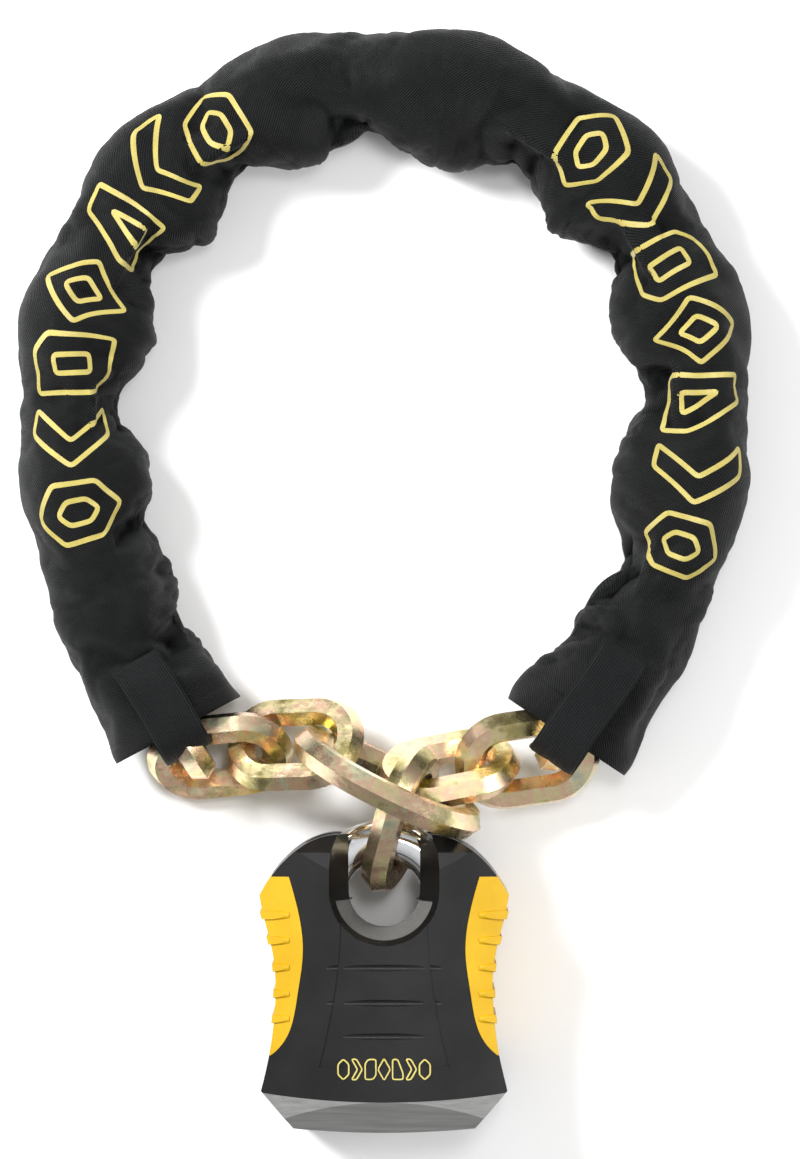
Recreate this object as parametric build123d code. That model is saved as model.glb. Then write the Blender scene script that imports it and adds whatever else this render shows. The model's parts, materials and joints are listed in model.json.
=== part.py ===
"""Chain lock: a hardened chain in a fabric sleeve, closed by a padlock with a closed shoulder.

The lock lies flat: X across, Y from the padlock (-Y) to the top of the loop (+Y), Z up from the floor.
The loop and the padlock share the plane of symmetry X = 0.
"""
import os
from math import cos, pi, radians, sin

from build123d import *

# Chain bar and links
BAR_FLATS = 9.5
BAR_R = BAR_FLATS / 2 / cos(radians(30))
LINK_LENGTH, LINK_WIDTH = 29.6, 14.6
NOOSE_LENGTH, NOOSE_WIDTH = 50.6, 44.6
END_LENGTH, END_WIDTH = 34.1, 18.8
SEAT_GAP = 0.95

# Loop that the covered chain follows
TOP_R = 107.0
SIDE_R = {"left": 220.0, "right": 188.0}
LOOP_Y = 62.3
SLEEVE_R, SLEEVE_WALL = 21.75, 1.5
SLEEVE_GAP = 4.0
MOUTH_OVERHANG = 5.0
COVERED_PER_SIDE = 10

STRAP_R, STRAP_THICK, STRAP_WIDTH, STRAP_TAIL, STRAP_END = 22.1, 1.5, 18.0, 22.0, 30.0

# Padlock: outline points run down its right side, and its mid-plane is at LOCK_Z
LOCK_Z = 25.0
LOCK_DEPTH = 50.0
SHOULDER = [(17.0, -89.6), (27.0, -92.6), (36.5, -100.5), (43.3, -110.5)]
FLANK = [(43.3, -110.5), (41.8, -118.0), (38.6, -131.0), (37.8, -148.0), (39.4, -163.0), (42.8, -178.5)]
BORDER_Y, BORDER_SAG = -178.5, 3.6
BASE_HALF, BASE_Y = 31.5, -191.5
FLAT_HALF, SIDE_DEPTH = 27.0, 38.0
NOTCH_HALF, NOTCH_Y = 11.5, -121.5
FLARE_HALF, FLARE_Y = 20.0, -128.5
BOW_R, SHACKLE_R, BOW_Y = 20.3, 7.0, -112.4
LEG_Y = -155.0
RUNNING = 0.15
BOLT_R, BOLT_Y, BOLT_TRAVEL = 4.5, -141.0, 3.0
RELEASE = 12.0
PLUG_R, HOUSING_R = 6.5, 9.0
HOUSING_TOP, HOUSING_BOTTOM = -150.0, -190.2
CORE_HALF, CORE_DEPTH, CORE_TOP, CORE_BOTTOM = 35.0, 38.0, -112.6, -176.0
BUSH_R, BUSH_LENGTH = 7.9, 6.0
CAM_LONG, CAM_SHORT, CAM_LENGTH = 5.0, 2.0, 9.0
BOLT_INNER = CAM_LONG + 0.9
PIN_R, PIN_Y, PIN_BITE = 1.5, -137.0, 1.2
SCREW_X, SCREW_R, SCREW_HEAD_R = 28.0, 1.9, 3.4
DUST_TRAVEL, DUST_SIZE = 12.0, (17.0, 1.4, 13.0)
GRIP_EDGE = [(33.1, -104.0), (30.7, -112.4), (28.2, -129.2), (30.0, -144.6), (33.8, -159.6), (39.4, -166.0)]
RIB_YS = [-117.3, -126.1, -135.5, -144.6, -153.3]
GROOVE_YS = [-135.5, -147.7, -159.3]
PANEL_EDGE = [(15.3, -118.0), (16.2, -136.0), (19.0, -154.0), (22.6, -170.0)]
FIT = 0.15

# Places of the bare links: centre, heading, climb and roll
BARE = {
    "link_a": ((-57.7, -62.9, 14.3), 5.4, 1.0, 41.3),
    "link_b": ((-31.5, -58.7, 19.9), 2.4, 19.3, 150.2),
    "noose_ring": ((1.1, -71.6, 33.3), -26.1, -3.5, 97.8),
    "end_link": ((5.6, -84.7, 29.9), 75.2, 26.3, 74.7),
    "link_g": ((22.3, -67.5, 22.2), 11.0, -11.4, 123.9),
    "link_h": ((50.2, -63.5, 20.0), 7.8, -3.7, 21.1),
}
SIZES = {"noose_ring": (NOOSE_LENGTH, NOOSE_WIDTH), "end_link": (END_LENGTH, END_WIDTH)}

END_BAR = LINK_LENGTH / 2 + BAR_R
SEAT = LINK_LENGTH / 2 - BAR_R - SEAT_GAP
PITCH = END_BAR + SEAT


def save(name, shape):
    """Writes one named piece as its own STEP file."""
    shape.label = name
    export_step(shape, f"parts/{name}.step")


def link(length, width):
    """A closed link of hexagonal bar, centred, long axis X, flats facing Z. Sizes are inside ones."""
    centre_r = width / 2 + BAR_R
    half = (length - width) / 2
    section = Plane.YZ * Pos(-centre_r, 0) * RegularPolygon(BAR_R, 6)
    arm = Pos(-half, 0, 0) * extrude(section, 2 * half)
    bend = revolve(section, Axis.Z, 180)
    body = arm + Rot(0, 0, 180) * arm + Pos(half, 0, 0) * bend
    return body + Rot(0, 0, 180) * Pos(half, 0, 0) * bend


def placed(centre, heading, climb, roll):
    """Location of a link: its long axis turned to the heading, raised by the climb, then rolled."""
    return Pos(*centre) * Rot(0, 0, heading) * Rot(0, -climb, 0) * Rot(roll, 0, 0)


def heading_at(side, s):
    """Degrees turned from the top of the loop after a path length s."""
    top = TOP_R * pi / 2
    if s <= top:
        return s / TOP_R * 180 / pi
    return 90 + (s - top) / SIDE_R[side] * 180 / pi


def covered_links(side):
    """Walks the covered chain down one side: (centre, heading, upright) of links, and joints' points."""
    turn = 1 if side == "left" else -1
    start = 180 if side == "left" else 0
    x, y = 0.0, LOOP_Y + TOP_R
    places, pivots = [((x, y, SLEEVE_R), start, True)], []
    for k in range(1, COVERED_PER_SIDE + 1):
        before = radians(places[-1][1])
        heading = start + turn * heading_at(side, k * PITCH)
        after, upright = radians(heading), k % 2 == 0
        first, second = (SEAT, END_BAR) if upright else (END_BAR, SEAT)
        x, y = x + first * cos(before), y + first * sin(before)
        pivots.append((x, y))
        x, y = x + second * cos(after), y + second * sin(after)
        places.append(((x, y, SLEEVE_R), heading, upright))
    return places, pivots


def sleeve_segment(side, k, place, low, high):
    """A tube round one upright link, bent along the loop, from path length low to high."""
    turn = 1 if side == "left" else -1
    span = radians(heading_at(side, high) - heading_at(side, low))
    bend_r = (high - low) / span
    wall = Circle(SLEEVE_R) - Circle(SLEEVE_R - SLEEVE_WALL)
    axis = Axis((0, turn * bend_r, 0), (0, 0, turn))
    tube = revolve(Plane.YZ * wall, axis, span * 180 / pi)
    back = (k * PITCH - low) / bend_r
    centre = (0, turn * bend_r, 0)
    turned = Pos(*centre) * Rot(0, 0, -turn * back * 180 / pi) * Pos(0, -turn * bend_r, 0) * tube
    return Pos(*place[0]) * Rot(0, 0, place[1]) * turned

def strap(place):
    """Web strap on top of the last sleeve segment, bent down over the mouth round the link's end."""
    bend_x = (LINK_LENGTH - LINK_WIDTH) / 2
    low, high = STRAP_R, STRAP_R + STRAP_THICK
    arcs = [CenterArc((bend_x, 0), r, STRAP_END, 90 - STRAP_END) for r in (low, high)]
    tip = Line(arcs[0] @ 0, arcs[1] @ 0)
    start = -STRAP_TAIL
    tail = Polyline(arcs[0] @ 1, (start, low), (start, high), arcs[1] @ 1)
    band = extrude(make_face(Curve() + arcs + [tip, tail]), STRAP_WIDTH / 2, both=True)
    return Pos(*place[0]) * Rot(0, 0, place[1]) * Rot(90, 0, 0) * band


def chain_parts():
    """Every link, sleeve segment and strap, in place."""
    parts = {}
    standard = link(LINK_LENGTH, LINK_WIDTH)
    for name, place in BARE.items():
        shape = link(*SIZES[name]) if name in SIZES else standard
        parts[name] = placed(*place) * shape
    for side in ("left", "right"):
        places, _ = covered_links(side)
        for k, (centre, heading, upright) in enumerate(places):
            if k == 0 and side == "right":
                continue
            name = "covered_link_top" if k == 0 else f"covered_link_{side}_{k}"
            parts[name] = Pos(*centre) * Rot(0, 0, heading) * Rot(90 if upright else 0, 0, 0) * standard
            if not upright:
                continue
            low, high = (k - 1) * PITCH + SLEEVE_GAP / 2, (k + 1) * PITCH - SLEEVE_GAP / 2
            if k == COVERED_PER_SIDE:
                high = k * PITCH + MOUTH_OVERHANG
                parts[f"strap_{side}"] = strap(places[k])
            label = "sleeve_top" if k == 0 else f"sleeve_{side}_{k // 2}"
            parts[label] = sleeve_segment(side, k, places[k], low, high)
    return parts


def body_outline():
    """Silhouette of the whole padlock, notch not yet cut, base included."""
    right = [
        Line((0, SHOULDER[0][1]), SHOULDER[0]),
        Spline(SHOULDER),
        Spline(FLANK),
        Line(FLANK[-1], (BASE_HALF, BASE_Y)),
        ThreePointArc((BASE_HALF, BASE_Y), (0, BASE_Y - 1.6), (-BASE_HALF, BASE_Y)),
    ]
    left = [mirror(edge, Plane.YZ) for edge in right[:-1]]
    return make_face(Curve() + right + left)


def depth_profile():
    """Section across the padlock: a crowned front, and a flat back with bevelled flanks."""
    half, side = LOCK_DEPTH / 2, SIDE_DEPTH / 2
    front = ThreePointArc((-45, side), (0, half), (45, side))
    back = [Line((45, -side), (FLAT_HALF, -half)), Line((FLAT_HALF, -half), (-FLAT_HALF, -half))]
    ends = [
        Line((-FLAT_HALF, -half), (-45, -side)),
        Line((45, side), (45, -side)),
        Line((-45, -side), (-45, side)),
    ]
    return make_face(Curve() + [front] + back + ends)


def length_profile():
    """Section along the padlock: shoulders and base drawn in towards the mid-plane."""
    half = LOCK_DEPTH / 2
    top, low, base = SHOULDER[0][1], BORDER_Y - BORDER_SAG, BASE_Y - 2
    pts = [(top + 1, half - 9), (top - 6, half - 2.5), (top - 16, half), (low, half), (base, half - 7)]
    return make_face(Polyline(pts + [(y, -z) for y, z in reversed(pts)], close=True))


def lock_envelope():
    """The outside of the padlock, without its notch."""
    slab = extrude(body_outline(), LOCK_DEPTH / 2, both=True)
    across = extrude(Plane.XZ * depth_profile(), 250)
    along = extrude(Plane.YZ * length_profile(), 60, both=True)
    return slab & across & along


def notch_face(half, bottom):
    """A U that is open upwards."""
    top = SHOULDER[0][1] + 12
    centre = bottom + half
    sides = [
        Line((half, centre), (half, top)),
        Line((half, top), (-half, top)),
        Line((-half, top), (-half, centre)),
    ]
    return make_face(Curve() + sides + [ThreePointArc((-half, centre), (0, bottom), (half, centre))])


def notch(grow=0.0):
    """The shackle notch: a U through the body, flared towards the front and the back."""
    middle = notch_face(NOTCH_HALF + grow, NOTCH_Y - grow)
    outer = notch_face(FLARE_HALF + grow, FLARE_Y - grow)
    front = loft([Pos(0, 0, 5) * middle, Pos(0, 0, LOCK_DEPTH / 2 + 1) * outer], ruled=True)
    return extrude(middle, 6, both=True) + front + mirror(front, Plane.XY)


def shackle_solid(radius, leg_y):
    """A round-bar U: bow upwards, legs down to leg_y."""
    down = (Align.CENTER, Align.CENTER, Align.MIN)
    leg = Pos(BOW_R, BOW_Y, 0) * Rot(90, 0, 0) * Cylinder(radius, BOW_Y - leg_y, align=down)
    section = Pos(BOW_R, 0, 0) * (Plane.XZ * Circle(radius))
    bow = Pos(0, BOW_Y, 0) * revolve(section, Axis.Z, 180)
    return leg + mirror(leg, Plane.YZ) + bow


def along_y(radius, low, high, x=0.0, z=0.0):
    """A cylinder that runs along Y from low to high."""
    bar = Cylinder(radius, high - low, align=(Align.CENTER, Align.CENTER, Align.MIN))
    return Pos(x, low, z) * Rot(-90, 0, 0) * bar


def grip_region(grow=0.0):
    """The flank area that the right grip covers, through the whole depth."""
    edge = [(x - grow, y) for x, y in GRIP_EDGE]
    top, low = edge[0], edge[-1]
    outer = [Line(low, (60, low[1])), Line((60, low[1]), (60, top[1] + grow)), Line((60, top[1] + grow), top)]
    return extrude(make_face(Curve() + [Spline(edge)] + outer), LOCK_DEPTH, both=True)


def below_border():
    """Everything under the curved line between the covers and the base."""
    arc = ThreePointArc((-60, BORDER_Y + 2.5), (0, BORDER_Y - BORDER_SAG), (60, BORDER_Y + 2.5))
    box = [
        Line((60, BORDER_Y + 2.5), (60, -220)),
        Line((60, -220), (-60, -220)),
        Line((-60, -220), (-60, BORDER_Y + 2.5)),
    ]
    return extrude(make_face(Curve() + [arc] + box), LOCK_DEPTH, both=True)


def panel_region():
    """The sunk middle panel of a cover, seen from the front."""
    right = [(x, y) for x, y in PANEL_EDGE]
    low = PANEL_EDGE[-1]
    top = PANEL_EDGE[0]
    sides = [Spline(right), mirror(Spline(right), Plane.YZ)]
    ends = [Line((low[0], low[1]), (-low[0], low[1])), Line((top[0], top[1]), (-top[0], top[1]))]
    return extrude(make_face(Curve() + sides + ends), LOCK_DEPTH, both=True)


def core_block(grow=0.0):
    """The steel block inside the covers, before its bores."""
    size = (2 * (CORE_HALF + grow), CORE_TOP - CORE_BOTTOM + 2 * grow, CORE_DEPTH + 2 * grow)
    block = Pos(0, (CORE_TOP + CORE_BOTTOM) / 2, 0) * Box(*size)
    corner = Pos(CORE_HALF + grow, CORE_TOP + grow, 0) * Rot(0, 0, 45) * Box(11, 11, 60)
    return block - corner - mirror(corner, Plane.YZ)


def lock_core():
    """Hardened body: shackle sockets, bolt channel, cylinder bore and screw holes."""
    leg = along_y(SHACKLE_R + RUNNING, LEG_Y - 14, CORE_TOP + 1, BOW_R)
    bush = along_y(BUSH_R, CORE_TOP - BUSH_LENGTH, CORE_TOP + 1, BOW_R)
    channel = Pos(0, BOLT_Y, 0) * Rot(0, 90, 0) * Cylinder(BOLT_R + FIT, 2 * BOW_R)
    chamber = along_y(HOUSING_R, HOUSING_TOP, BOLT_Y + CAM_LENGTH / 2 + 1)
    bore = along_y(HOUSING_R + FIT, CORE_BOTTOM - 1, HOUSING_TOP)
    screw = along_y(SCREW_R, CORE_BOTTOM - 1, CORE_BOTTOM + 14, SCREW_X)
    pin = Pos(-BOW_R - SHACKLE_R - PIN_R + PIN_BITE, PIN_Y, 0) * Cylinder(PIN_R, CORE_DEPTH)
    core = core_block() - notch(1.0) - channel - chamber - bore - pin
    for tool in (leg, bush, screw):
        core = core - tool - mirror(tool, Plane.YZ)
    return core


def shackle():
    """Round-bar shackle with a sloped pocket for each bolt and a slot for the retaining pin."""
    body = shackle_solid(SHACKLE_R, LEG_Y)
    inner = BOW_R - SHACKLE_R
    bite = BOLT_TRAVEL + 0.4
    top = BOLT_Y + BOLT_R + 0.4
    low = BOLT_Y - BOLT_R - 0.4
    foot = low - RELEASE * 1.15
    profile = [(inner - 1, top), (inner + bite, top), (inner + bite, low), (inner, foot), (inner - 1, foot)]
    pocket = extrude(make_face(Polyline(profile, close=True)), 9, both=True)
    slot_x = -BOW_R - SHACKLE_R + PIN_BITE + 0.3
    slot = Box(10, RELEASE + 2 * PIN_R + 1.4, 30, align=(Align.MAX, Align.MAX, Align.CENTER))
    return body - pocket - mirror(pocket, Plane.YZ) - Pos(slot_x, PIN_Y + PIN_R + 0.5, 0) * slot


def both_sides(tool):
    """A tool and its mirror image across X = 0."""
    return tool + mirror(tool, Plane.YZ)


def shell():
    """The two covers together: envelope less core, notch, grips, base and shackle sockets."""
    outside = lock_envelope()
    skin = outside - scale(outside, (1, 1, 0.976))
    front = Pos(0, -140, 30) * Box(120, 140, 60)
    shape = outside - (skin & panel_region() & front) - notch()
    shape = shape - below_border() - both_sides(grip_region(FIT))
    shape = shape - core_block(FIT) - along_y(HOUSING_R + 0.3, -200, -170)
    shape = shape - both_sides(along_y(SHACKLE_R + 0.5, LEG_Y, -80, BOW_R))
    shape = shape - both_sides(along_y(BUSH_R + FIT, CORE_TOP - BUSH_LENGTH, CORE_TOP + FIT, BOW_R))
    upward = (Align.CENTER, Align.MIN, Align.CENTER)
    shape = shape - Pos(0, BOW_Y, 0) * Box(2 * BOW_R, 30, 2 * SHACKLE_R + 1, align=upward)
    shape = shape - both_sides(along_y(SCREW_R + 0.3, -200, -170, SCREW_X))
    for y in GROOVE_YS:
        groove = Pos(0, y, LOCK_DEPTH / 2 + 0.2) * Rot(0, 90, 0) * Cylinder(1.4, 60)
        shape = shape - groove
    return shape


def grip():
    """Right side grip: a yellow moulding over the flank, with five thumb ribs."""
    outside = lock_envelope()
    proud = Pos(0, -140, 0) * scale(Pos(0, 140, 0) * outside, (1.022, 1, 1.03))
    body = outside & grip_region()
    for y in RIB_YS:
        band = Pos(60, y, 0) * Rot(0, 90, 0) * Cylinder(1.5, 54)
        front = Pos(0, 0, LOCK_DEPTH / 2 - 4.2) * band
        edge = Pos(41.0, y, 0) * Box(8.0, 2.4, 40)
        body = body + (proud & grip_region() & (front + mirror(front, Plane.XY) + edge))
    return body - core_block(FIT)


def base_cap():
    """Bevelled steel base with the keyway bore, screw seats and the dust cover's slot."""
    body = lock_envelope() & below_border()
    plate = along_y(HOUSING_R + 3.2, -188.2, -186.0)
    room = Pos(DUST_TRAVEL / 2, HOUSING_BOTTOM - 0.1, 0) * Box(
        DUST_SIZE[0] + DUST_TRAVEL + 0.6, 4, DUST_SIZE[2] + 0.4, align=(Align.CENTER, Align.MAX, Align.CENTER))
    body = body - along_y(HOUSING_R + FIT, -200, -170) - plate - room
    body = body - both_sides(along_y(SCREW_R + FIT, -200, -170, SCREW_X))
    return body - both_sides(along_y(SCREW_HEAD_R + FIT, -200, -186.0, SCREW_X))


def base_screws():
    """Two cap screws that hold the base to the core."""
    shank = along_y(SCREW_R, -186.0, CORE_BOTTOM + 13, SCREW_X)
    head = along_y(SCREW_HEAD_R, -189.0, -186.0, SCREW_X)
    socket = Pos(SCREW_X, -189.2, 0) * Rot(-90, 0, 0) * extrude(RegularPolygon(1.7, 6), 2)
    return both_sides(shank + head - socket)


def cylinder_plug():
    """Keyed plug with the disc chamber, key slot and the drive for the cam."""
    body = along_y(PLUG_R, HOUSING_BOTTOM + 0.3, HOUSING_TOP + 1.5)
    chamber = along_y(4.6, -186.0, -152.0)
    slot = Pos(0, -187, 0) * Box(2.4, 12, 8.4)
    return body - chamber - slot


def disc_stack():
    """Eight slotted code discs."""
    disc = along_y(4.45, 0, 3.2) - Box(2.2, 9, 6.2)
    first, *rest = [Pos(0, -185.7 + 4.1 * i, 0) * disc for i in range(8)]
    return first + rest


def cylinder_housing():
    """Sleeve that the plug turns in."""
    return along_y(HOUSING_R, HOUSING_BOTTOM, HOUSING_TOP - 0.1) - along_y(PLUG_R + 0.05, -200, -140)


def cam():
    """Oval cam on the plug that holds both bolts out."""
    oval = extrude(SlotOverall(2 * CAM_LONG, 2 * CAM_SHORT), CAM_LENGTH + 0.5)
    boss = along_y(PLUG_R - 1.5, HOUSING_TOP + 1.6, BOLT_Y - CAM_LENGTH / 2 - 0.2)
    return boss + Pos(0, BOLT_Y - CAM_LENGTH / 2 - 0.7, 0) * Rot(-90, 0, 0) * oval


def lock_bolt():
    """Right locking bolt, engaged in the shackle's pocket."""
    length = BOW_R - SHACKLE_R + BOLT_TRAVEL - BOLT_INNER
    bolt = Cylinder(BOLT_R, length, align=(Align.CENTER, Align.CENTER, Align.MIN))
    return Pos(BOLT_INNER, BOLT_Y, 0) * Rot(0, 90, 0) * bolt


def shackle_spring():
    """Coil spring under the shackle's left leg."""
    turns = Helix(pitch=2.6, height=10.4, radius=4.6)
    wire = Plane(turns @ 0, z_dir=turns % 0) * Circle(0.6)
    coil = sweep(wire, path=turns, is_frenet=True)
    return Pos(-BOW_R, LEG_Y - 12.2, 0) * Rot(-90, 0, 0) * coil


def dust_cover():
    """Sliding plate over the keyway."""
    plate = Box(*DUST_SIZE, align=(Align.CENTER, Align.MAX, Align.CENTER))
    nib = Pos(-5.5, -DUST_SIZE[1] + 0.2, 0) * Box(1.6, 0.9, 8, align=(Align.CENTER, Align.MAX, Align.CENTER))
    return Pos(0, HOUSING_BOTTOM - 0.2, 0) * (plate + nib)


def lock_parts():
    """Every padlock piece in its own frame, mid-plane at z = 0."""
    covers = shell()
    front = covers & Pos(0, -140, 30) * Box(120, 140, 60)
    rear = covers & Pos(0, -140, -30) * Box(120, 140, 60)
    right_grip, bolt = grip(), lock_bolt()
    bush = along_y(BUSH_R - 0.05, CORE_TOP - BUSH_LENGTH + 0.1, CORE_TOP, BOW_R)
    bush = bush - along_y(SHACKLE_R + 0.06, -130, -90, BOW_R)
    pin = Pos(-BOW_R - SHACKLE_R - PIN_R + PIN_BITE, PIN_Y, 0) * Cylinder(PIN_R, CORE_DEPTH - 1)
    return {
        "lock_core": lock_core(),
        "front_cover": front,
        "rear_cover": rear,
        "grip_right": right_grip,
        "grip_left": mirror(right_grip, Plane.YZ),
        "base_cap": base_cap(),
        "base_screws": base_screws(),
        "shackle": shackle(),
        "shackle_bushes": both_sides(bush),
        "cylinder_housing": cylinder_housing(),
        "cylinder_plug": cylinder_plug(),
        "disc_stack": disc_stack(),
        "anti_drill_plate": along_y(HOUSING_R + 3.0, -188.0, -186.2) - along_y(HOUSING_R + 0.05, -195, -180),
        "cam": cam(),
        "lock_bolt_right": bolt,
        "lock_bolt_left": mirror(bolt, Plane.YZ),
        "shackle_spring": shackle_spring(),
        "retaining_pin": pin,
        "dust_cover": dust_cover(),
    }


def main():
    os.makedirs("parts", exist_ok=True)
    for name, shape in chain_parts().items():
        save(name, shape)
    for name, shape in lock_parts().items():
        save(name, Pos(0, 0, LOCK_Z) * shape)


main()
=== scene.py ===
"""Looks of the chain lock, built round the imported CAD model.

A woven sleeve with marks, its straps, and a material for every piece, then the light and the camera.
Everything is in metres in the CAD's own frame: X across, Y from the padlock to the loop's top, Z up.
"""
import json
import math

import bpy
import numpy as np
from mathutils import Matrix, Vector, noise as lattice


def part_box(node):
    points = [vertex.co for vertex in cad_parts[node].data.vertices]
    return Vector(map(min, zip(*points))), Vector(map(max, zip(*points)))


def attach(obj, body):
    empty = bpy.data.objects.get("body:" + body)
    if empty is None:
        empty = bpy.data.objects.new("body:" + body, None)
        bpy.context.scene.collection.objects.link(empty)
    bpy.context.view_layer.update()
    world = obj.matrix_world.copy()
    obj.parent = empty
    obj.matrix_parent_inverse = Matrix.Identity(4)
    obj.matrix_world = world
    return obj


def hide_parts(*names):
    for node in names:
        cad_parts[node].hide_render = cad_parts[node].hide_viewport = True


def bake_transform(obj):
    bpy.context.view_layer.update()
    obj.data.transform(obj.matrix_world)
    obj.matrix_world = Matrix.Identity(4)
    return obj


MM = 0.001
LINKS_PER_SIDE = 10
ROWS_PER_LINK = 10
AROUND = 56
SMOOTHING = 2
MOUTH_ROWS = {"left": 2, "right": 4}
SLEEVE_R = 21.75 * MM
# How much wider, flatter and lower the sleeve gets at its mouths, as shares of its radius
FLARE_WIDE, FLARE_FLAT, FLARE_LOW = 0.17, 0.16, 0.10
FLOOR_GAP = 0.4 * MM
CLOTH_EXCESS, CLOTH_BENDING = 0.07, 0.25
SETTLE_FRAMES = 14
COARSE_PASSES, FINE_PASSES = 3, 16
MAX_MOVE = 6 * MM
CREASE_DEPTH = 2.2 * MM
# Two sets of creases: their length along the sleeve and round it in mm, a shift, sharpness and share
CREASES = [(11.0, 34, 0, 3.2, 1.0), (4.95, 15, 40, 3, 0.45)]
# The creases' least and further share, by row towards the tucks and by side towards the loop's inside
CREASE_BY_ROW, CREASE_BY_SIDE = (0.25, 0.75), (0.45, 0.55)
# How many passes the cloth is averaged over to find its folds, and the depth below that average at which a
# fold gets its full painted shade
FOLD_SPREAD, FOLD_FULL = 40, 1.6 * MM
WALL = 0.9 * MM
# The covered link's straight length, end radius and thickness, and the cloth's gap from it
LINK_STRAIGHT, LINK_END_R, LINK_BAR, CLOTH_ROOM = 15.0 * MM, 18.4 * MM, 9.5 * MM, 0.8 * MM

MARK_WIDTH, MARK_RIDGE, MARK_EDGE = 1.7 * MM, 0.35 * MM, 0.04 * MM
# The strap's width and thickness, its run back from the mouth, its lift, and its bend over the mouth
STRAP_WIDTH, STRAP_THICK, STRAP_BACK, STRAP_LIFT = 18 * MM, 1.5 * MM, 24 * MM, 1.1 * MM
STRAP_BEND, STRAP_TURN = 9.5 * MM, math.radians(118)

VIEW_CENTRE, VIEW_HEIGHT, CAMERA_UP = (0.0055, -0.0009), 0.40565, 2.4

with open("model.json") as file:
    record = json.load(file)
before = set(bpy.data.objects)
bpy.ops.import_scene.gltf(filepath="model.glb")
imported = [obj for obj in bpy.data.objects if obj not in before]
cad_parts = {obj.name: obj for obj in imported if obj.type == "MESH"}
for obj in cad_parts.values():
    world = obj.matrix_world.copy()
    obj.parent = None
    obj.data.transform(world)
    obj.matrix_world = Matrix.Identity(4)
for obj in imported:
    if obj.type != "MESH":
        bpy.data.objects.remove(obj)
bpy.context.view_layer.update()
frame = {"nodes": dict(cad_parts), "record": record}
nodes = frame["nodes"]


# ---------------------------------------------------------------- the path of the covered chain

def centre_of(node):
    low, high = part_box(node)
    return np.array((low + high) / 2)


def station_body(k):
    """The covered link at station k: negative on the left side, positive on the right."""
    if k == 0:
        return "covered_link_top"
    return f"covered_link_{'left' if k < 0 else 'right'}_{abs(k)}"


STATIONS = np.array([centre_of(station_body(k)) for k in range(-LINKS_PER_SIDE, LINKS_PER_SIDE + 1)])
PITCH = float(np.linalg.norm(np.diff(STATIONS, axis=0), axis=1).mean())


def cubic(points, t):
    """Smooth curve through points at whole values of t, carried straight on past both ends."""
    first, last = 2 * points[0] - points[1], 2 * points[-1] - points[-2]
    p = np.concatenate([[2 * first - points[0], first], points, [last, 2 * last - points[-1]]])
    t = np.asarray(t, float) + 2
    i = np.clip(np.floor(t).astype(int), 1, len(p) - 3)
    f = (t - i).reshape((-1,) + (1,) * (points.ndim - 1))
    a, b, c, d = p[i - 1], p[i], p[i + 1], p[i + 2]
    square, cube = 2 * a - 5 * b + 4 * c - d, 3 * b - a - 3 * c + d
    return 0.5 * (2 * b + (c - a) * f + square * f**2 + cube * f**3)


def path_point(k):
    return cubic(STATIONS, np.asarray(k, float) + LINKS_PER_SIDE)


def path_frame(k):
    """Centre, direction and outward side of the path at stations k, which need not be whole."""
    k = np.atleast_1d(np.asarray(k, float))
    along = path_point(k + 0.02) - path_point(k - 0.02)
    along /= np.linalg.norm(along, axis=1)[:, None]
    outward = np.stack([-along[:, 1], along[:, 0], np.zeros(len(k))], axis=1)
    return path_point(k), along, outward


# ---------------------------------------------------------------- the sleeve

# Where the cloth tucks in: the place in links from the loop's top, the depth in mm and the width in links
TUCKS = [
    (-8.9, 4.0, 0.30), (-7.7, 5.0, 0.28), (-6.0, 10.0, 0.34), (-4.0, 10.0, 0.34),
    (-2.15, 10.0, 0.34), (-0.25, 11.0, 0.34), (1.95, 9.0, 0.34), (3.8, 12.0, 0.32),
    (5.9, 6.5, 0.30), (8.1, 9.0, 0.40), (9.3, 3.0, 0.26),
]
# Where it swells between the tucks: the place in links and the height in mm
BULGES = [
    (-6.9, 3.0), (-5.0, 4.0), (-3.1, 4.0), (-1.1, 3.0), (0.9, 3.5), (2.9, 4.0), (4.9, 3.5), (6.9, 3.5),
    (-8.4, 2.0),
]
# The sleeve's top line, as an angle about the path from the loop's outer side
UP = math.pi / 2
# The grid of cloth points that settles: its rows by place in links, its columns by angle
FIRST_ROW = -(LINKS_PER_SIDE * ROWS_PER_LINK + MOUTH_ROWS["left"])
LAST_ROW = LINKS_PER_SIDE * ROWS_PER_LINK + MOUTH_ROWS["right"]
SIM_ROWS = np.arange(FIRST_ROW, LAST_ROW + 1) / ROWS_PER_LINK
SIM_AROUND = np.arange(AROUND) * 2 * math.pi / AROUND


def first_shape(rows, around):
    """The tube before it settles: radius of each point about the path, rows by around."""
    k, angle = rows[:, None], around[None, :]
    inner = np.maximum(0, -np.cos(angle)) ** 1.3
    outer = np.maximum(0, np.cos(angle)) ** 2
    top = np.maximum(0, np.sin(angle))
    radius = np.full((len(rows), len(around)), SLEEVE_R * 0.985)
    for place, depth, width in TUCKS:
        lean = 0.30 * np.sin(place * 7.3) * top
        valley = np.exp(-(((k - place - lean) / width) ** 2))
        radius = radius - depth * MM * valley * (inner + 0.22 * top)
    for place, size in BULGES:
        swell = np.exp(-(((k - place) / 0.5) ** 2))
        radius = radius + size * MM * swell * (0.9 * inner + 0.6 * outer)
    ripple = 0.45 * MM * np.sin(9.1 * k + 3 * np.sin(2 * angle + k)) * (0.3 + inner)
    return radius + ripple


def mouth_flare(rows):
    """How far each row is opened sideways and flattened near the two mouths."""
    reach = np.where(rows < 0, -rows - (LINKS_PER_SIDE - 0.9), rows - (LINKS_PER_SIDE - 0.75))
    return np.clip(reach / 1.0, 0, 1) ** 1.4


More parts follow.
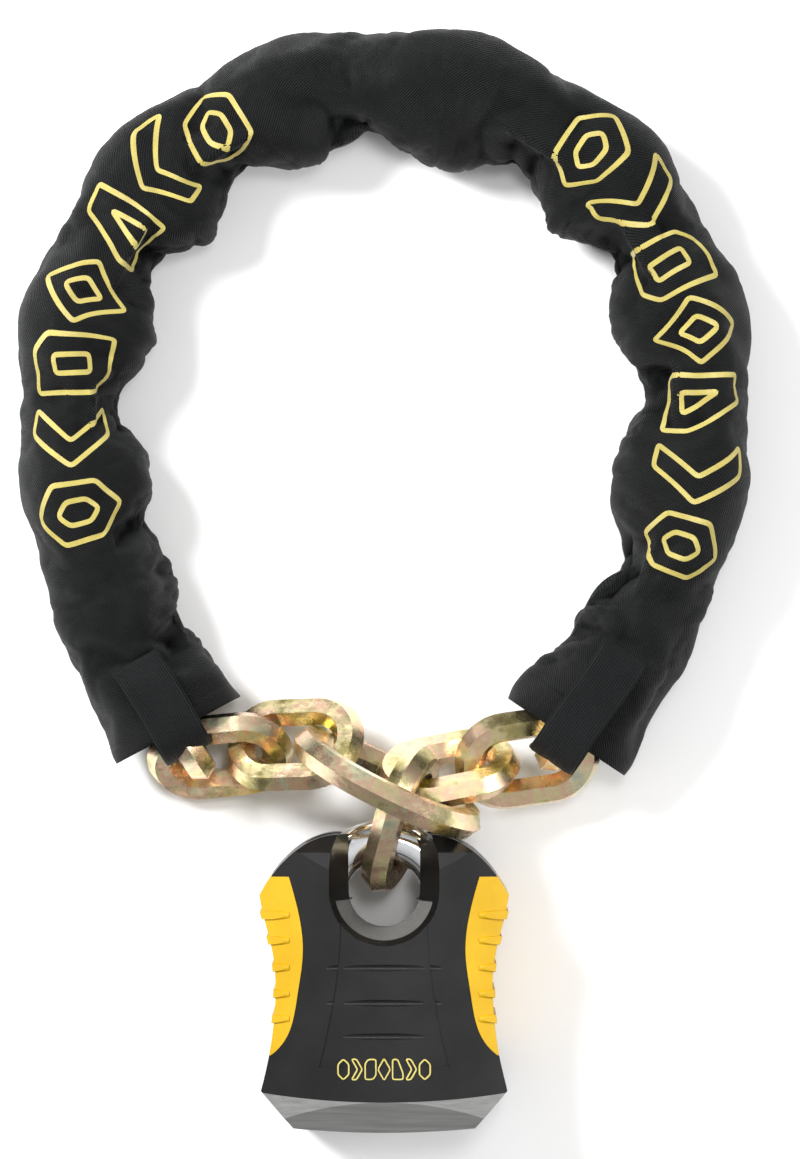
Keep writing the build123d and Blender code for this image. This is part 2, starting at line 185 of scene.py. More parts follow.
def tube_points(rows, around, radius):
    """The tube's points, rows by around, for the given radii about the path."""
    centre, _, outward = path_frame(rows)
    flare = mouth_flare(rows)[:, None]
    side = radius * np.cos(around)[None, :] * (1 + FLARE_WIDE * flare)
    rise = radius * np.sin(around)[None, :] * (1 - FLARE_FLAT * flare)
    points = centre[:, None, :] + side[..., None] * outward[:, None, :]
    points[..., 2] += rise - FLARE_LOW * SLEEVE_R * flare
    return points


def grid_faces(rows, around):
    """Faces of a tube of rows by around points."""
    return [
        (
            r * around + a, r * around + (a + 1) % around,
            (r + 1) * around + (a + 1) % around, (r + 1) * around + a,
        )
        for r in range(rows - 1)
        for a in range(around)
    ]


def mesh_object(name, verts, faces):
    mesh = bpy.data.meshes.new(name)
    mesh.from_pydata([tuple(v) for v in verts], [], faces)
    mesh.update()
    obj = bpy.data.objects.new(name, mesh)
    bpy.context.scene.collection.objects.link(obj)
    return obj


def held_points(around):
    """Cloth points that stay: the outer line, the bottom line, the tucks' deepest points, both mouths."""
    held = []
    tucks = [int(round(place * ROWS_PER_LINK)) - FIRST_ROW for place, _, _ in TUCKS]
    for r in range(len(SIM_ROWS)):
        spots = [0, around * 3 // 4] if r % 3 == 0 else []
        if r in tucks:
            spots += [around // 2 - 1, around // 2, around // 2 + 1]
        if r in (0, len(SIM_ROWS) - 1):
            spots = range(around)
        held += [r * around + a for a in spots]
    return held


def settle(points):
    """Lets the cloth, cut larger than the tube, buckle into folds, and returns its points."""
    rows, around = points.shape[:2]
    start = points.reshape(-1, 3)
    cloth = mesh_object("settling", start, grid_faces(rows, around))
    cloth.vertex_groups.new(name="held").add(held_points(around), 1.0, "REPLACE")
    modifier = cloth.modifiers.new("Cloth", "CLOTH")
    s = modifier.settings
    s.quality = 5
    s.mass = 0.15
    s.air_damping = 3
    s.tension_stiffness = s.compression_stiffness = 15
    s.shear_stiffness, s.bending_stiffness = 5, CLOTH_BENDING
    s.tension_damping = s.compression_damping = s.shear_damping = 10
    s.shrink_min = s.shrink_max = -CLOTH_EXCESS
    s.vertex_group_mass = "held"
    s.effector_weights.gravity = 0
    modifier.collision_settings.use_collision = False
    modifier.point_cache.frame_start, modifier.point_cache.frame_end = 1, SETTLE_FRAMES + 1
    scene = bpy.context.scene
    for f in range(1, SETTLE_FRAMES + 1):
        scene.frame_set(f)
    evaluated = cloth.evaluated_get(bpy.context.evaluated_depsgraph_get())
    co = np.zeros(len(start) * 3, np.float32)
    evaluated.data.vertices.foreach_get("co", co)
    settled = co.reshape(-1, 3).astype(float)
    scene.frame_set(1)
    bpy.data.objects.remove(cloth, do_unlink=True)
    move = settled - start
    length = np.linalg.norm(move, axis=1)[:, None]
    move = move * np.minimum(1, MAX_MOVE / np.maximum(length, 1e-9))
    return (start + move).reshape(rows, around, 3)


def off_link(points, k):
    """Pushes points out of the covered link at station k, a flat ring with round ends, filled in."""
    centre, along, outward = (v[0] for v in path_frame([k]))
    up = np.array((0, 0, 1.0))
    across, third = (up, outward) if k % 2 == 0 else (outward, up)
    arm = points - centre
    x, c, t = arm @ along, arm @ across, arm @ third
    past = np.sign(x) * np.maximum(0, np.abs(x) - LINK_STRAIGHT / 2)
    from_core = np.maximum(np.hypot(past, c), 1e-9)
    edge = LINK_END_R + CLOTH_ROOM - from_core
    face = LINK_BAR / 2 + CLOTH_ROOM - np.abs(t)
    inside = (edge > 0) & (face > 0)
    by_edge = np.where(inside & (edge <= face), edge, 0)
    by_face = np.where(inside & (edge > face), face, 0)
    points = points + (by_edge * past / from_core)[..., None] * along
    points = points + (by_edge * c / from_core)[..., None] * across
    return points + (by_face * np.sign(t))[..., None] * third


def kept_outside(points, rows):
    """Moves the cloth off the chain inside it and off the floor under it."""
    for k in range(-LINKS_PER_SIDE, LINKS_PER_SIDE + 1):
        near = np.abs(rows - k) < 1.0
        points[near] = off_link(points[near], k)
    points[..., 2] = np.maximum(points[..., 2], FLOOR_GAP)
    return points


def smoothed(points, times, share=0.35):
    """The grid with every point drawn towards its neighbours."""
    for _ in range(times):
        around = (np.roll(points, 1, 1) + np.roll(points, -1, 1)) / 2
        along = points.copy()
        along[1:-1] = (points[:-2] + points[2:]) / 2
        points = points + share * ((around + along) / 2 - points)
    return points


def finer(points, times):
    """The grid with more rows and columns between the first ones, on smooth curves."""
    rows, around = points.shape[:2]
    points = cubic(points, np.arange((rows - 1) * times + 1) / times)
    wide = np.concatenate([points[:, -2:], points, points[:, :3]], axis=1).transpose(1, 0, 2)
    return cubic(wide, 2 + np.arange(around * times) / times).transpose(1, 0, 2)


def grid_normals(points):
    """Unit normals of the grid, all to one side."""
    along = np.gradient(points, axis=0)
    around = (np.roll(points, -1, 1) - np.roll(points, 1, 1)) / 2
    normal = np.cross(around, along)
    return normal / np.maximum(np.linalg.norm(normal, axis=2), 1e-12)[..., None]


def outward_normals(points):
    """The grid's normals, turned away from the tube's middle."""
    normals = grid_normals(points)
    return normals * np.sign((normals * (points - points.mean(axis=1, keepdims=True))).sum(-1).mean())


def creased(points, rows):
    """Adds the fine creases that run round the tube, deepest inside the loop and at the tucks."""
    around = points.shape[1]
    angle = np.arange(around) * 2 * math.pi / around
    radius = SLEEVE_R / MM
    depth = np.zeros(points.shape[:2])
    for r, k in enumerate(rows):
        along = k * PITCH / MM
        for a in range(around):
            y, z = radius * math.cos(angle[a]), radius * math.sin(angle[a])
            for length, girth, shift, sharpness, part in CREASES:
                wave = lattice.noise(Vector((along / length + shift, y / girth, z / girth)))
                depth[r, a] += part * (1 - min(1, sharpness * abs(wave))) ** 2
    near_tuck = sum(np.exp(-(((rows - place) / 0.7) ** 2)) for place, _, _ in TUCKS)
    by_row = CREASE_BY_ROW[0] + CREASE_BY_ROW[1] * np.clip(near_tuck, 0, 1)
    by_side = CREASE_BY_SIDE[0] + CREASE_BY_SIDE[1] * np.maximum(0, -np.cos(angle))
    share = by_row[:, None] * by_side[None, :]
    fade = np.clip((LINKS_PER_SIDE + 0.1 - np.abs(rows)) / 0.4, 0, 1)[:, None]
    normals = outward_normals(points)
    return points - (CREASE_DEPTH * depth * share * fade)[..., None] * normals


def sleeve_grid():
    """The finished cloth: settled, made finer, kept off the chain, and creased."""
    points = tube_points(SIM_ROWS, SIM_AROUND, first_shape(SIM_ROWS, SIM_AROUND))
    points = settle(points)
    for _ in range(COARSE_PASSES):
        points = kept_outside(smoothed(points, 1), SIM_ROWS)
    points = finer(points, SMOOTHING)
    rows = FIRST_ROW / ROWS_PER_LINK + np.arange(len(points)) / (ROWS_PER_LINK * SMOOTHING)
    for _ in range(FINE_PASSES):
        points = kept_outside(smoothed(points, 1, 0.5), rows)
    points = smoothed(creased(points, rows), 1)
    return kept_outside(points, rows)


GRID = sleeve_grid()
NORMALS = outward_normals(GRID)
# Painted shade for the cloth: each point's depth below its smoothed neighbourhood, as a share from 0 to 1
PAINTED_FOLD_SHADE = np.clip(((smoothed(GRID, FOLD_SPREAD, 0.5) - GRID) * NORMALS).sum(-1) / FOLD_FULL, 0, 1)


def on_sleeve(k, angle, lift=0.0):
    """The point and the normal of the settled sleeve at station k and angle, lifted off the cloth."""
    r = (np.asarray(k) * ROWS_PER_LINK - FIRST_ROW) * SMOOTHING
    a = (np.asarray(angle) / (2 * math.pi) * AROUND * SMOOTHING) % GRID.shape[1]
    r0 = np.clip(np.floor(r).astype(int), 0, GRID.shape[0] - 2)
    a0 = np.floor(a).astype(int)
    fr, fa = (r - r0)[..., None], (a - a0)[..., None]
    a1 = (a0 + 1) % GRID.shape[1]
    a0 = a0 % GRID.shape[1]

    def mix(g):
        low = g[r0, a0] * (1 - fa) + g[r0, a1] * fa
        high = g[r0 + 1, a0] * (1 - fa) + g[r0 + 1, a1] * fa
        return low * (1 - fr) + high * fr

    point, normal = mix(GRID), mix(NORMALS)
    normal /= np.maximum(np.linalg.norm(normal, axis=-1), 1e-12)[..., None]
    return point + normal * np.asarray(lift)[..., None], normal


# ---------------------------------------------------------------- the marks on the sleeve

def polygon(sides, across, along, turn=0.0):
    angles = turn + np.arange(sides) * 2 * math.pi / sides
    return [(along / 2 * math.cos(a), across / 2 * math.sin(a)) for a in angles]


def chevron(along, across, thick):
    half = across / 2
    return [(-along / 2, half), (-along / 2 + thick, half), (along / 2, 0), (-along / 2 + thick, -half),
            (-along / 2, -half), (along / 2 - thick, 0)]


def shapes():
    """Outlines of the generic marks: lists of (along, across) points, in millimetres."""
    hexagon = [polygon(6, 31, 22, math.pi / 6), polygon(6, 15, 9, math.pi / 6)]
    diamond = [polygon(4, 33, 22), polygon(4, 15, 9)]
    arrow = [chevron(19, 31, 8.5)]
    wedge = [[(-9, -15), (9.5, -15), (9.5, -6), (0, 15), (-9, 15)], [(-3.5, -8.5), (3.5, -8.5), (-3.5, 6)]]
    block = [
        [(-9.5, -15), (4, -15), (9.5, -9), (9.5, 15), (-4, 15), (-9.5, 9)],
        [(-3, -7), (3, -7), (3, 7), (-3, 7)],
    ]
    return [hexagon, arrow, block, diamond, wedge, arrow, hexagon]


# Each row of marks: its first and last place in links from the loop's top, and its reading direction
MARKS = [(-7.25, -2.05, -1), (2.62, 7.68, 1)]
# How far the marks lie off the sleeve's top line, in radians
MARK_OFFSET = 0.07


def rounded(outline, step=0.8):
    """Even steps along a closed outline, its corners eased."""
    points = np.array(outline, float)
    dense = []
    for p, q in zip(points, np.roll(points, -1, 0)):
        n = max(2, int(np.linalg.norm(q - p) / step))
        dense += [p + (q - p) * i / n for i in range(n)]
    dense = np.array(dense)
    for _ in range(3):
        dense = (np.roll(dense, 1, 0) + 2 * dense + np.roll(dense, -1, 0)) / 4
    return dense


def leftward(line):
    """The direction to the left of a closed flat line at each of its points."""
    ahead = np.roll(line, -1, 0) - np.roll(line, 1, 0)
    ahead /= np.linalg.norm(ahead, axis=1)[:, None]
    return np.stack([-ahead[:, 1], ahead[:, 0]], axis=1)


def mark_strips():
    """Every outline as a raised strip on the cloth: its long lines, running length and way round."""
    strips = []
    for low, high, way in MARKS:
        drawn = shapes()
        for i, shape in enumerate(drawn):
            k0 = low + (high - low) * i / (len(drawn) - 1)
            for outline in shape:
                line = rounded(outline) * MM
                left = leftward(line) * MARK_WIDTH / 2
                run = np.cumsum(np.linalg.norm(np.roll(line, -1, 0) - line, axis=1))
                sides = []
                for offset, lift in ((left, MARK_EDGE), (0 * left, MARK_RIDGE), (-left, MARK_EDGE)):
                    uv = line + offset
                    k = k0 + way * uv[:, 0] / PITCH
                    angle = UP - MARK_OFFSET - uv[:, 1] / SLEEVE_R
                    point, normal = on_sleeve(k, angle, np.full(len(k), lift))
                    sides.append((point, k, normal))
                strips.append((sides, run, way))
    return strips


STRIPS = mark_strips()


def strip_faces(k_low, k_high):
    """The part of the marks that lies between two stations, as (points, faces, uvs, normals)."""
    verts, faces, uvs, normals = [], [], [], []
    for sides, run, way in STRIPS:
        middle = sides[1][1]
        n = len(middle)
        for i in range(n):
            j = (i + 1) % n
            at = (middle[i] + middle[j]) / 2
            if not k_low <= at < k_high:
                continue
            u0, u1 = (run[i - 1] if i else 0) / MM, run[i] / MM
            for a, b in ((0, 1), (1, 2)):
                base = len(verts)
                corners = ((a, i), (b, i), (b, j), (a, j))[::way]
                verts += [sides[c][0][at_row] for c, at_row in corners]
                normals += [sides[c][2][at_row] for c, at_row in corners]
                faces.append((base, base + 1, base + 2, base + 3))
                uvs += [(u0, a), (u0, b), (u1, b), (u1, a)][::way]
    return verts, faces, uvs, normals


# ---------------------------------------------------------------- materials

def principled(name, **values):
    material = bpy.data.materials.new(name)
    material.use_nodes = True
    shader = material.node_tree.nodes["Principled BSDF"]
    for key, value in values.items():
        shader.inputs[key.replace("_", " ")].default_value = value
    return material, material.node_tree, shader


def add(tree, kind, inputs=None, **settings):
    node = tree.nodes.new(kind)
    for key, value in settings.items():
        setattr(node, key, value)
    for key, value in (inputs or {}).items():
        if isinstance(value, bpy.types.NodeSocket):
            tree.links.new(value, node.inputs[key])
        else:
            node.inputs[key].default_value = value
    return node


def ramp(tree, factor, stops):
    node = add(tree, "ShaderNodeValToRGB", {"Fac": factor})
    bar = node.color_ramp
    while len(bar.elements) < len(stops):
        bar.elements.new(0.5)
    for element, (place, colour) in zip(bar.elements, stops):
        element.position = place
        element.color = (*colour, 1)
    return node.outputs["Color"]


def bump(tree, shader, height, strength, distance, after=None):
    inputs = {"Height": height, "Strength": strength, "Distance": distance}
    if after is not None:
        inputs["Normal"] = after
    node = add(tree, "ShaderNodeBump", inputs)
    tree.links.new(node.outputs["Normal"], shader.inputs["Normal"])
    return node.outputs["Normal"]


def noise(tree, vector, scale, detail=4.0, roughness=0.55):
    inputs = {"Vector": vector, "Scale": scale, "Detail": detail, "Roughness": roughness}
    return add(tree, "ShaderNodeTexNoise", inputs).outputs["Fac"]


def math_node(tree, operation, a, b=0.5, clamp=False):
    node = add(tree, "ShaderNodeMath", {0: a, 1: b}, operation=operation, use_clamp=clamp)
    return node.outputs[0]


def weighted(tree, a, share_a, b, share_b):
    """share_a of a plus share_b of b."""
    first = math_node(tree, "MULTIPLY", a, share_a)
    return math_node(tree, "ADD", first, math_node(tree, "MULTIPLY", b, share_b))


def ranged(tree, value, low, high):
    """Value, from 0 to 1, carried over to the range from low to high."""
    return add(tree, "ShaderNodeMapRange", {"Value": value, "To Min": low, "To Max": high}).outputs[0]


def blended(tree, share, first, second):
    """Colour first, gone over to the plain colour second by share."""
    inputs = {0: share, 6: first, 7: (*second, 1)}
    return add(tree, "ShaderNodeMix", inputs, data_type="RGBA").outputs[2]


def object_space(tree, stretch=(1, 1, 1)):
    place = add(tree, "ShaderNodeTexCoord").outputs["Object"]
    return add(tree, "ShaderNodeMapping", {"Vector": place, "Scale": stretch}).outputs["Vector"]


# The near-black colour painted into the cloth's folds as shade
FOLD_SHADE_COLOUR = (0.0008, 0.0009, 0.0010)
STITCH_PITCH = 0.42


def twill(name, dark, light, pitch, slope, depth):
    """Woven nylon: diagonal ribs of floated yarns, broken up along each rib, in the map's millimetres, with
    painted shade in the cloth's folds.
    """
    material, tree, shader = principled(name, Roughness=0.52, Sheen_Weight=0.015, Sheen_Roughness=0.4)
    shader.inputs["Sheen Tint"].default_value = (0.55, 0.58, 0.62, 1)
    uv = add(tree, "ShaderNodeUVMap", uv_map="UVMap").outputs["UV"]
    split = add(tree, "ShaderNodeSeparateXYZ", {"Vector": uv})
    along, across = split.outputs["X"], split.outputs["Y"]
    diagonal = math_node(tree, "ADD", math_node(tree, "MULTIPLY", along, slope), across)
    phase = math_node(tree, "MULTIPLY", diagonal, 2 * math.pi / pitch)
    ribs = math_node(tree, "SINE", phase)
    yarn = math_node(tree, "SINE", math_node(tree, "MULTIPLY", along, 2 * math.pi / (pitch * 0.55)))
    weave = weighted(tree, ribs, 0.5, yarn, 0.22)
    weave = math_node(tree, "ADD", weave, 0.5, clamp=True)
    cloud = noise(tree, object_space(tree), 55.0)
    shade = weighted(tree, weave, 0.65, cloud, 0.5)
    colour = ramp(tree, shade, [(0.25, dark), (0.85, light)])
    # Painted shade: the base colour is drawn towards the fold shade colour, and the specular turned down,
    # where the cloth lies deep in a fold
    fold_shade = add(tree, "ShaderNodeAttribute", attribute_name="fold_shade").outputs["Fac"]
    shaded = blended(tree, math_node(tree, "MULTIPLY", fold_shade, 0.85), colour, FOLD_SHADE_COLOUR)
    tree.links.new(shaded, shader.inputs["Base Color"])
    tree.links.new(ranged(tree, fold_shade, 0.13, 0.01), shader.inputs["Specular IOR Level"])
    bump(tree, shader, weave, 0.7, depth)
    return material


def thread_material():
    """Satin-stitched thread: close cross stitches with a little sheen."""
    material, tree, shader = principled("gold_thread", Roughness=0.48, Sheen_Weight=0.2)
    uv = add(tree, "ShaderNodeUVMap", uv_map="UVMap").outputs["UV"]
    split = add(tree, "ShaderNodeSeparateXYZ", {"Vector": uv})
    lean = math_node(tree, "MULTIPLY", split.outputs["Y"], 0.12)
    slant = math_node(tree, "ADD", split.outputs["X"], lean)
    stitch = math_node(tree, "SINE", math_node(tree, "MULTIPLY", slant, 2 * math.pi / STITCH_PITCH))
    stitch = math_node(tree, "ADD", math_node(tree, "MULTIPLY", stitch, 0.5), 0.5)
    patch = noise(tree, object_space(tree), 90.0)
    shade = weighted(tree, stitch, 0.4, patch, 0.6)
    colour = ramp(tree, shade, [(0.2, (0.26, 0.20, 0.03)), (0.75, (0.54, 0.46, 0.12))])
    tree.links.new(colour, shader.inputs["Base Color"])
    bump(tree, shader, stitch, 0.5, 0.0002)
    return material


def plated_material():
    """Yellow-passivated zinc: straw with olive, pink and pale green patches, and worn spots."""
    material, tree, shader = principled("yellow_zinc", Metallic=1.0)
    place = object_space(tree)
    broad = noise(tree, place, 62.0, 3.0, 0.6)
    warp = add(tree, "ShaderNodeVectorMath", {0: place, 1: (0.31, 0.17, 0.09)}, operation="ADD").outputs[0]
    second = noise(tree, warp, 140.0, 5.0, 0.65)
    hue = weighted(tree, broad, 0.75, second, 0.25)
    stops = [
        (0.30, (0.28, 0.30, 0.17)), (0.40, (0.50, 0.42, 0.16)), (0.47, (0.86, 0.75, 0.42)),
        (0.54, (0.90, 0.58, 0.42)), (0.60, (0.88, 0.79, 0.52)), (0.70, (0.48, 0.60, 0.48)),
    ]
    colour = ramp(tree, hue, stops)
    fine = noise(tree, place, 900.0, 6.0, 0.7)
    specked = blended(tree, math_node(tree, "MULTIPLY", fine, 0.35), colour, (0.42, 0.36, 0.2))
    tree.links.new(specked, shader.inputs["Base Color"])
    tree.links.new(ranged(tree, second, 0.16, 0.40), shader.inputs["Roughness"])
    dents = noise(tree, place, 160.0, 3.0, 0.5)
    first = bump(tree, shader, dents, 0.22, 0.0012)
    bump(tree, shader, fine, 0.12, 0.0003, first)
    return material


def plastic_material(name, low, high, roughness, grain):
    """Moulded plastic with a fine spark-eroded grain and faint mottling."""
    material, tree, shader = principled(name)
    shader.inputs["Specular IOR Level"].default_value = 0.3
    place = object_space(tree)
    cloud = noise(tree, place, 70.0, 3.0)
    tree.links.new(ramp(tree, cloud, [(0.3, low), (0.7, high)]), shader.inputs["Base Color"])
    fine = noise(tree, place, 2600.0, 2.0, 0.5)
    tree.links.new(ranged(tree, cloud, roughness - 0.04, roughness + 0.05), shader.inputs["Roughness"])
    bump(tree, shader, fine, grain, 0.0002)
    return material


def metal_material(name, low, high, roughness, stretch, scale, strength, metallic=1.0):
    """Machined or brushed metal: fine lines drawn out one way."""
    material, tree, shader = principled(name, Metallic=metallic)
    lines = noise(tree, object_space(tree, stretch), scale, 5.0, 0.6)
    tree.links.new(ramp(tree, lines, [(0.3, low), (0.7, high)]), shader.inputs["Base Color"])
    tree.links.new(ranged(tree, lines, roughness * 0.75, roughness * 1.3), shader.inputs["Roughness"])
    bump(tree, shader, lines, strength, 0.0003)
    return material


FABRIC = twill("black_twill", (0.0006, 0.0007, 0.0008), (0.0095, 0.0105, 0.0105), 1.1, 1.0, 0.0006)
WEB = twill("black_web", (0.0025, 0.0028, 0.0030), (0.012, 0.013, 0.0135), 0.9, 0.0, 0.0006)
THREAD = thread_material()
BY_SLOT = {
    "plated_chain": plated_material(),
    "sleeve_fabric": FABRIC,
    "strap_web": WEB,
    "black_cover": plastic_material(
        "satin_black", (0.0030, 0.0030, 0.0032), (0.0060, 0.0060, 0.0062), 0.34, 0.16),
    "yellow_grip": plastic_material(
        "satin_yellow", (0.47, 0.275, 0.005), (0.54, 0.325, 0.008), 0.34, 0.10),
    "brushed_steel": metal_material(
        "brushed_grey", (0.15, 0.15, 0.145), (0.21, 0.21, 0.205), 0.45, (0.05, 1, 1), 900, 0.12, 0.35),
    "shackle_chrome": metal_material(
        "chrome", (0.78, 0.79, 0.81), (0.86, 0.87, 0.88), 0.09, (1, 1, 1), 500, 0.03),
    "brass": metal_material(
        "machined_brass", (0.56, 0.40, 0.15), (0.74, 0.56, 0.26), 0.28, (1, 0.1, 1), 700, 0.10),
    "bright_steel": metal_material(
        "zinc_steel", (0.42, 0.42, 0.43), (0.62, 0.62, 0.64), 0.26, (1, 1, 1), 420, 0.08),
}


def dress(obj, *materials):
    obj.data.materials.clear()
    for material in materials:
        obj.data.materials.append(material)


# ---------------------------------------------------------------- the sleeve's pieces

def sleeve_piece(name, k_low, k_high):
    """The stretch of the sleeve between two stations, with its part of the marks."""
    rows_per = ROWS_PER_LINK * SMOOTHING
    r0, r1 = (int(round(k * rows_per)) - FIRST_ROW * SMOOTHING for k in (k_low, k_high))
    part = GRID[r0:r1 + 1]
    rows, around = part.shape[:2]
    faces = grid_faces(rows, around)
    strip_verts, strip_quads, strip_uvs, strip_normals = strip_faces(k_low, k_high)
    verts = list(part.reshape(-1, 3))
    base = len(verts)
    obj = mesh_object(name, verts + strip_verts, faces + [tuple(base + i for i in f) for f in strip_quads])
    mesh = obj.data
    uv = mesh.uv_layers.new(name="UVMap")
    step = PITCH / rows_per / MM
    arc = 2 * math.pi * SLEEVE_R / around / MM
    values = []
    for face in faces:
        turned = any(i % around == 0 for i in face) and any(i % around == around - 1 for i in face)
        for i in face:
            a = i % around
            values.append(((r0 + i // around) * step, (around if turned and a == 0 else a) * arc))
    values += strip_uvs
    uv.data.foreach_set("uv", np.array(values, np.float32).reshape(-1))
    mesh.polygons.foreach_set("use_smooth", [True] * len(mesh.polygons))
    # Each point's share of painted fold shade; the marks get none
    fold_shade = mesh.attributes.new("fold_shade", "FLOAT", "POINT")
    painted_shades = np.concatenate([PAINTED_FOLD_SHADE[r0:r1 + 1].ravel(), np.zeros(len(strip_verts))])
    fold_shade.data.foreach_set("value", painted_shades.astype(np.float32))
    normals = np.concatenate([NORMALS[r0:r1 + 1].reshape(-1, 3), np.array(strip_normals).reshape(-1, 3)])
    mesh.normals_split_custom_set_from_vertices([tuple(n) for n in normals])
    dress(obj, FABRIC, THREAD)
    mesh.polygons.foreach_set("material_index", [0] * len(faces) + [1] * len(strip_quads))
    return obj


def thicken(obj):
    """Gives an open mouth its wall."""
    modifier = obj.modifiers.new("wall", "SOLIDIFY")
    modifier.thickness = WALL
    modifier.offset = -1


def sleeve_node(k):
    """The CAD sleeve segment round the upright link at even station k."""
    return "sleeve_top" if k == 0 else f"sleeve_{'left' if k < 0 else 'right'}_{abs(k) // 2}"


def sleeve():
    """One piece of cloth for each gap between two covered links, and one for each mouth."""
    for k in range(-LINKS_PER_SIDE, LINKS_PER_SIDE):
        obj = sleeve_piece(f"sleeve_cloth_{k + LINKS_PER_SIDE + 1:02d}", k, k + 1)
        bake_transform(obj)
        if k % 2 == 0:
            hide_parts(sleeve_node(k))
    for side, sign in (("left", -1), ("right", 1)):
        end = sign * (LINKS_PER_SIDE + MOUTH_ROWS[side] / ROWS_PER_LINK)
        obj = sleeve_piece(f"sleeve_mouth_{side}", *sorted((sign * LINKS_PER_SIDE, end)))
        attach(obj, station_body(sign * LINKS_PER_SIDE))
        thicken(obj)
        if sign > 0:
            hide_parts(sleeve_node(LINKS_PER_SIDE))


# ---------------------------------------------------------------- the straps

def ribbon(name, path, sides, width, thick, material):
    """A flat web along path: sides is the direction across it at each point."""
    path, sides = np.array(path), np.array(sides)
    along = np.gradient(path, axis=0)
    along /= np.linalg.norm(along, axis=1)[:, None]
    normal = np.cross(along, sides)
    normal /= np.linalg.norm(normal, axis=1)[:, None]
    across = np.linspace(-1, 1, 13)
    edge = np.minimum(1, (1 - np.abs(across)) * 9 + 0.35)
    middle = path[:, None] + sides[:, None] * (across * width / 2)[None, :, None]
    rise = normal[:, None] * (edge * thick / 2)[None, :, None]
    top, low = middle + rise, middle - rise
    ring = np.concatenate([top, low[:, ::-1]], axis=1)
    rows, around = ring.shape[:2]
    faces = grid_faces(rows, around)
    faces += [tuple(range(around))[::-1], tuple((rows - 1) * around + a for a in range(around))]
    obj = mesh_object(name, ring.reshape(-1, 3), faces)
    uv = obj.data.uv_layers.new(name="UVMap")
    run = np.concatenate([[0], np.cumsum(np.linalg.norm(np.diff(path, axis=0), axis=1))]) / MM
    span = np.concatenate([across, across[::-1]]) * width / 2 / MM
    values = [(run[i // around], span[i % around]) for loop in obj.data.polygons for i in loop.vertices]
    uv.data.foreach_set("uv", np.array(values, np.float32).reshape(-1))
    obj.data.polygons.foreach_set("use_smooth", [True] * len(obj.data.polygons))
    dress(obj, material)
    return obj


def strap(side, sign):
    """Web strap: stitched flat on the sleeve's top, then bent down over the mouth, round the link's end."""
    k0 = sign * LINKS_PER_SIDE
    _, along, outward = (v[0] for v in path_frame([k0]))
    along = along * sign
    up = np.array((0, 0, 1.0))
    reach = MOUTH_ROWS[side] / ROWS_PER_LINK * PITCH
    path = []
    for t in np.linspace(-STRAP_BACK, reach - 0.5 * MM, 16):
        point, _ = on_sleeve(np.array([k0 + sign * t / PITCH]), np.array([UP]), np.array([STRAP_LIFT]))
        path.append(point[0])
    lip = path[-1]
    for a in np.linspace(0, STRAP_TURN, 14)[1:]:
        path.append(lip + along * STRAP_BEND * math.sin(a) - up * STRAP_BEND * 1.15 * (1 - math.cos(a)))
    path = np.array(path)
    for _ in range(4):
        path[1:-1] = (path[:-2] + 2 * path[1:-1] + path[2:]) / 4
    sides = np.tile(outward, (len(path), 1))
    obj = ribbon(f"strap_web_{side}", path, sides, STRAP_WIDTH, STRAP_THICK, WEB)
    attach(obj, station_body(k0))
    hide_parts(f"strap_{side}")
    return obj


# ---------------------------------------------------------------- the padlock and the chain

# How much each piece's sharp edges are rounded, in mm
BEVELS = {
    "front_cover": 1.1, "rear_cover": 1.1, "base_cap": 0.9, "grip_left": 0.6, "grip_right": 0.6,
    "dust_cover": 0.3, "lock_core": 0.4, "base_screws": 0.2,
}
BAR_EDGE = 0.9
# The small marks on the cover: their spacing, scale against the sleeve's, line width and height
PRINT_PITCH, PRINT_SCALE, PRINT_LINE, PRINT_RISE = 4.7 * MM, 0.23, 0.6 * MM, 0.35 * MM
# Their middle above the cover's lower edge, and their start below its face
PRINT_UP, PRINT_SINK = 11.5 * MM, 0.25 * MM


def dress_frame():
    """Gives every CAD node the material of its record slot, and rounds the sharp edges that show."""
    slots = {s["node"]: s["material_slot"] for s in frame["record"]["subparts"]}
    for name, obj in nodes.items():
        dress(obj, BY_SLOT[slots[name]])
        is_link = "link" in name or name == "noose_ring"
        width = BAR_EDGE if is_link else BEVELS.get(name)
        if width is None:
            continue
        modifier = obj.modifiers.new("edge", "BEVEL")
        modifier.width = width * MM
        modifier.segments = 3
        modifier.limit_method = "ANGLE"
        modifier.angle_limit = math.radians(32)
        modifier.harden_normals = True


def cover_marks():
    """A row of small outlined shapes on the front cover, above the base."""
    low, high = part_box("front_cover")
    verts, faces = [], []
    drawn = shapes()
    y = low.y + PRINT_UP
    top = high.z - PRINT_SINK
    crest = top + PRINT_RISE
    for i, (outline, *_) in enumerate(drawn):
        x0 = (i - (len(drawn) - 1) / 2) * PRINT_PITCH
        line = rounded(np.array(outline) * (PRINT_SCALE * 0.85, PRINT_SCALE), 0.35) * MM
        left = leftward(line) * PRINT_LINE / 2
        n, base = len(line), len(verts)
        for offset, z in ((left, top), (left * 0.7, crest), (-left * 0.7, crest), (-left, top)):
            verts += [(x0 + p[0], y + p[1], z) for p in line + offset]
        for c in range(3):
            for j in range(n):
                faces.append((base + c * n + j, base + c * n + (j + 1) % n,
                              base + (c + 1) * n + (j + 1) % n, base + (c + 1) * n + j))
    obj = mesh_object("cover_marks", verts, faces)
    dress(obj, plastic_material("pale_yellow_print", (0.44, 0.37, 0.10), (0.52, 0.44, 0.13), 0.45, 0.05))
    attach(obj, "lock_body")


# ---------------------------------------------------------------- floor, light and camera

FLOOR_HALF = 4


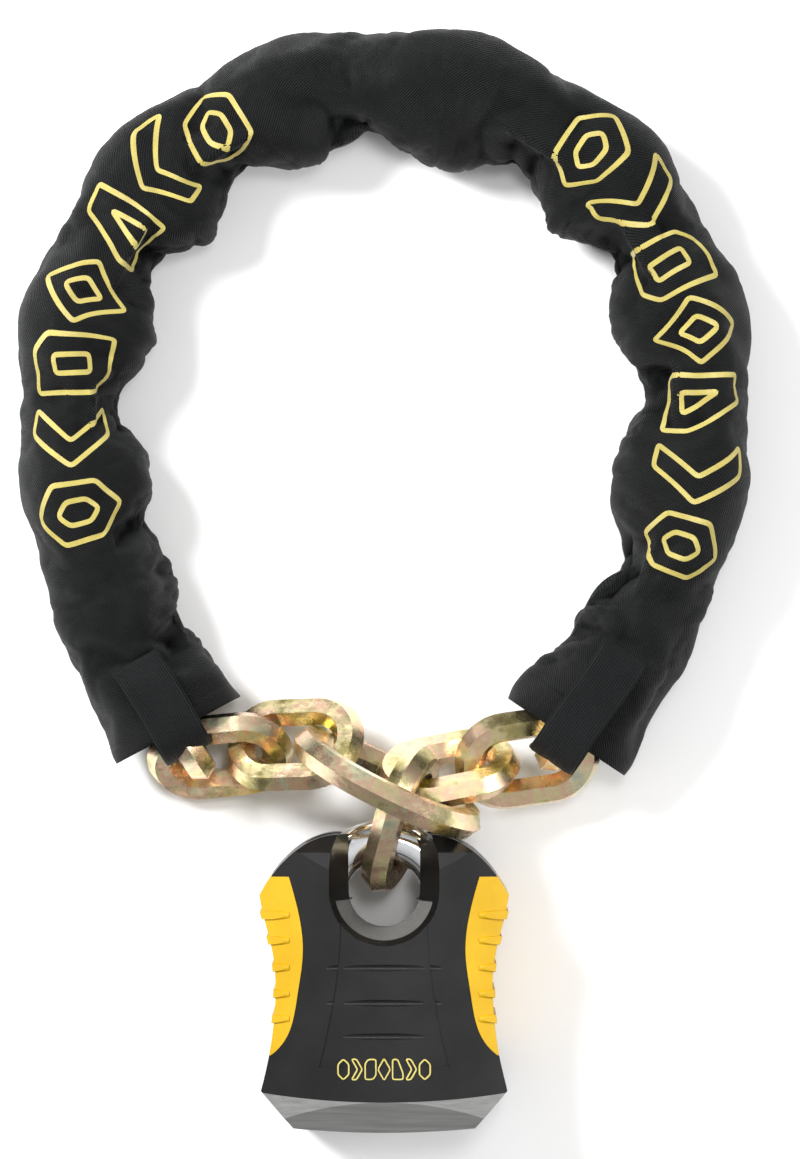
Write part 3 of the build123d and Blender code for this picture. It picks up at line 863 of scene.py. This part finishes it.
def floor():
    corners = [(x * FLOOR_HALF, y * FLOOR_HALF, 0) for x, y in ((-1, -1), (1, -1), (1, 1), (-1, 1))]
    obj = mesh_object("floor", corners, [(0, 1, 2, 3)])
    material, tree, shader = principled("pale_floor", Roughness=0.85)
    tone = noise(tree, object_space(tree), 3.0, 2.0)
    colour = ramp(tree, tone, [(0.0, (0.86, 0.86, 0.86)), (1.0, (0.89, 0.89, 0.89))])
    tree.links.new(colour, shader.inputs["Base Color"])
    dress(obj, material)


# The surroundings' grey, from straight below to straight above
SKY_GREYS = [(0.0, 0.18), (0.25, 0.22), (0.6, 0.4), (1.0, 0.8)]


def area_light(name, place, size, power, target=(0, 0, 0.02)):
    data = bpy.data.lights.new(name, "AREA")
    data.shape, data.size, data.energy = "DISK", size, power
    obj = bpy.data.objects.new(name, data)
    obj.location = place
    aim = Vector(target) - Vector(place)
    obj.rotation_euler = aim.to_track_quat("-Z", "Y").to_euler()
    bpy.context.scene.collection.objects.link(obj)


def light():
    bpy.context.scene.view_settings.view_transform = "Standard"
    world = bpy.data.worlds.new("studio")
    world.use_nodes = True
    tree = world.node_tree
    place = add(tree, "ShaderNodeTexCoord").outputs["Generated"]
    height = add(tree, "ShaderNodeSeparateXYZ", {"Vector": place}).outputs["Z"]
    sky = ramp(tree, height, [(stop, (grey,) * 3) for stop, grey in SKY_GREYS])
    tree.links.new(sky, tree.nodes["Background"].inputs["Color"])
    bpy.context.scene.world = world
    area_light("key", (-0.75, 0.55, 0.95), 0.45, 27)
    area_light("fill", (0.95, -0.2, 0.8), 0.5, 8)
    area_light("overhead", (0.22, 0.35, 2.0), 0.4, 9)


def camera():
    data = bpy.data.cameras.new("camera")
    data.sensor_fit, data.sensor_height = "VERTICAL", 36
    middle = centre_of("shackle")[2]
    data.lens = data.sensor_height * (CAMERA_UP - middle) / VIEW_HEIGHT
    data.clip_start, data.clip_end = 0.05, 20
    obj = bpy.data.objects.new("camera", data)
    obj.location = (*VIEW_CENTRE, CAMERA_UP)
    bpy.context.scene.collection.objects.link(obj)
    bpy.context.scene.camera = obj


sleeve()
strap("left", -1)
strap("right", 1)
dress_frame()
cover_marks()
floor()
light()
camera()
